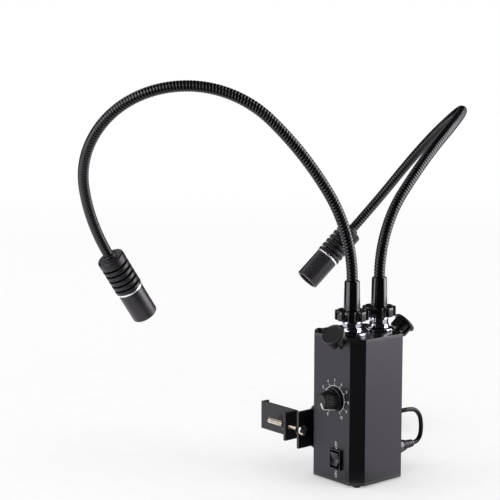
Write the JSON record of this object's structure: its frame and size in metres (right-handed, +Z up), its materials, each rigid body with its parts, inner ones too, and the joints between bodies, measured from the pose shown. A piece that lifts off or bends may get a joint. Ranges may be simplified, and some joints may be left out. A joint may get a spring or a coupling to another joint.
{
  "type": "gooseneck illuminator",
  "caption": "Clamp-on LED illuminator: a square housing with dimmer and rocker switch, bendable gooseneck arms with finned lamp heads, a screw clamp and a plug-top supply.",
  "frame": {"origin": "on the bench, under the centre of the housing", "axes": "+Z up, the front panel with the dimmer faces -Y, the clamp reaches out on the -X side"},
  "size_m": [0.1983, 0.3109, 0.272],
  "materials": {
    "black_anodised_extrusion": "satin black anodised",
    "black_coated_plate": "satin black anodised",
    "black_oxide_steel": "black oxide",
    "circuit_board": "solder mask",
    "board_components": "moulded packages",
    "brass_spacer": "plain",
    "zinc_steel": "zinc plated",
    "black_knob": "moulded, fine matt",
    "black_switch": "moulded gloss",
    "black_pvc": "extruded soft PVC",
    "black_abs": "moulded, fine texture",
    "nickel_pins": "nickel plated",
    "black_clamp_steel": "black powder coat",
    "bright_screw": "bright zinc",
    "chrome_base": "polished chrome plate",
    "black_collar": "moulded, fine matt",
    "black_sleeve": "black anodised",
    "black_gooseneck": "ribbed gloss coat",
    "black_heat_sink": "black anodised",
    "silver_ring": "turned bright",
    "grey_barrel": "satin anodised",
    "led_board": "white solder mask",
    "clear_lens": "moulded clear"
  },
  "bodies": {
    "base": {"housing": "black_anodised_extrusion", "top_plate": "black_coated_plate", "bottom_plate": "black_coated_plate", "plate_screws": "black_oxide_steel", "driver_board": "circuit_board", "board_parts": "board_components", "board_spacers": "brass_spacer", "dimmer_pot": "zinc_steel", "dimmer_nut": "zinc_steel", "switch_body": "black_switch", "dc_jack": "black_abs", "dc_plug": "black_abs", "cord_lead": "black_pvc", "cord_coil": "black_pvc", "cord_tail": "black_pvc", "power_adapter": "black_abs", "adapter_pins": "nickel_pins", "clamp_bracket": "black_clamp_steel", "bracket_screws": "black_oxide_steel", "arm_base_front": "chrome_base", "arm_base_rear": "chrome_base", "arm_base_nuts": "zinc_steel"},
    "dimmer": {"dimmer_shaft": "zinc_steel", "dimmer_knob": "black_knob"},
    "rocker": {"switch_rocker": "black_switch"},
    "clamp_screw_body": {"clamp_screw": "bright_screw", "clamp_ring": "zinc_steel"},
    "jaw": {"clamp_jaw": "black_clamp_steel", "jaw_nut": "zinc_steel"},
    "front_swivel": {"swivel_stem_front": "chrome_base", "neck_sleeve_front": "black_sleeve", "neck_front_1": "black_gooseneck"},
    "front_collar": {"lock_collar_front": "black_collar"},
    "front_thumb": {"thumb_screw_front": "black_knob"},
    "front_neck_2": {"neck_front_2": "black_gooseneck"},
    "front_neck_3": {"neck_front_3": "black_gooseneck"},
    "front_neck_4": {"neck_front_4": "black_gooseneck"},
    "front_neck_5": {"neck_front_5": "black_gooseneck"},
    "front_head": {"neck_front_6": "black_gooseneck", "heat_sink_front": "black_heat_sink", "trim_ring_front": "silver_ring", "lamp_barrel_front": "grey_barrel", "led_board_front": "led_board", "lens_front": "clear_lens"},
    "rear_swivel": {"swivel_stem_rear": "chrome_base", "neck_sleeve_rear": "black_sleeve", "neck_rear_1": "black_gooseneck"},
    "rear_collar": {"lock_collar_rear": "black_collar"},
    "rear_thumb": {"thumb_screw_rear": "black_knob"},
    "rear_neck_2": {"neck_rear_2": "black_gooseneck"},
    "rear_neck_3": {"neck_rear_3": "black_gooseneck"},
    "rear_neck_4": {"neck_rear_4": "black_gooseneck"},
    "rear_neck_5": {"neck_rear_5": "black_gooseneck"},
    "rear_head": {"neck_rear_6": "black_gooseneck", "heat_sink_rear": "black_heat_sink", "trim_ring_rear": "silver_ring", "lamp_barrel_rear": "grey_barrel", "led_board_rear": "led_board", "lens_rear": "clear_lens"}
  },
  "joints": [
    {"name": "dimmer_turn", "type": "hinge", "parent": "base", "child": "dimmer", "pos_m": [0.003, -0.025, 0.0584], "axis": [0, -1, 0], "range_deg": [0, 300]},
    {"name": "rocker_rock", "type": "hinge", "parent": "base", "child": "rocker", "pos_m": [0.0055, -0.024, 0.0174], "axis": [1, 0, 0], "range_deg": [0, 14]},
    {"name": "clamp_screw_turn", "type": "hinge", "parent": "base", "child": "clamp_screw_body", "pos_m": [-0.026, -0.0286, 0.032], "axis": [-1, 0, 0], "range_deg": [-7720, 4635]},
    {"name": "jaw_slide", "type": "slide", "parent": "base", "child": "jaw", "axis": [1, 0, 0], "range_m": [-0.015, 0.009]},
    {"name": "front_swivel_turn", "type": "hinge", "parent": "base", "child": "front_swivel", "pos_m": [0.005, -0.0115, 0.1067], "axis": [0, 0, 1], "range_deg": [-35, 90]},
    {"name": "front_collar_turn", "type": "hinge", "parent": "front_swivel", "child": "front_collar", "pos_m": [0.005, -0.0115, 0.111], "axis": [0, 0, 1], "continuous": true},
    {"name": "front_thumb_turn", "type": "hinge", "parent": "base", "child": "front_thumb", "pos_m": [0.00885, -0.02586, 0.0969], "axis": [0.1923, -0.7178, 0.6691], "continuous": true},
    {"name": "front_bend_1", "type": "hinge", "parent": "front_swivel", "child": "front_neck_2", "pos_m": [-0.00485, -0.02457, 0.19722], "axis": [0.7506, -0.6592, -0.0449], "range_deg": [-25, 12]},
    {"name": "front_bend_2", "type": "hinge", "parent": "front_neck_2", "child": "front_neck_3", "pos_m": [-0.02856, -0.05486, 0.24562], "axis": [0.6761, -0.7226, -0.1443], "range_deg": [-25, 12]},
    {"name": "front_bend_3", "type": "hinge", "parent": "front_neck_3", "child": "front_neck_4", "pos_m": [-0.06718, -0.0955, 0.26814], "axis": [0.624, -0.6643, -0.4115], "range_deg": [-25, 12]},
    {"name": "front_bend_4", "type": "hinge", "parent": "front_neck_4", "child": "front_neck_5", "pos_m": [-0.11437, -0.12655, 0.24671], "axis": [0.6626, -0.5607, -0.4965], "range_deg": [-25, 12]},
    {"name": "front_bend_5", "type": "hinge", "parent": "front_neck_5", "child": "front_head", "pos_m": [-0.14908, -0.12378, 0.19725], "axis": [0.5107, -0.7043, -0.4932], "range_deg": [-25, 12]},
    {"name": "rear_swivel_turn", "type": "hinge", "parent": "base", "child": "rear_swivel", "pos_m": [0.005, 0.0145, 0.1067], "axis": [0, 0, 1], "range_deg": [-90, 35]},
    {"name": "rear_collar_turn", "type": "hinge", "parent": "rear_swivel", "child": "rear_collar", "pos_m": [0.005, 0.0145, 0.111], "axis": [0, 0, 1], "continuous": true},
    {"name": "rear_thumb_turn", "type": "hinge", "parent": "base", "child": "rear_thumb", "pos_m": [0.00885, 0.02886, 0.0997], "axis": [0.1923, 0.7178, 0.6691], "continuous": true},
    {"name": "rear_bend_1", "type": "hinge", "parent": "rear_swivel", "child": "rear_neck_2", "pos_m": [0.00339, 0.03757, 0.19402], "axis": [0.875, 0.3719, -0.31], "range_deg": [-12, 25]},
    {"name": "rear_bend_2", "type": "hinge", "parent": "rear_neck_2", "child": "rear_neck_3", "pos_m": [-0.00402, 0.08617, 0.23142], "axis": [0.5347, 0.5075, -0.6757], "range_deg": [-12, 25]},
    {"name": "rear_bend_3", "type": "hinge", "parent": "rear_neck_3", "child": "rear_neck_4", "pos_m": [-0.03152, 0.13769, 0.24835], "axis": [0.5347, 0.5075, -0.6757], "range_deg": [-12, 25]},
    {"name": "rear_bend_4", "type": "hinge", "parent": "rear_neck_4", "child": "rear_neck_5", "pos_m": [-0.08062, 0.1698, 0.23362], "axis": [0.5175, 0.6178, -0.592], "range_deg": [-12, 25]},
    {"name": "rear_bend_5", "type": "hinge", "parent": "rear_neck_5", "child": "rear_head", "pos_m": [-0.12611, 0.16906, 0.19309], "axis": [0.6467, 0.4351, -0.6264], "range_deg": [-12, 25]}
  ],
  "couplings": [
    {"joint": "clamp_screw_turn", "follows": "jaw_slide", "rad_per_m": 8976}
  ]
}
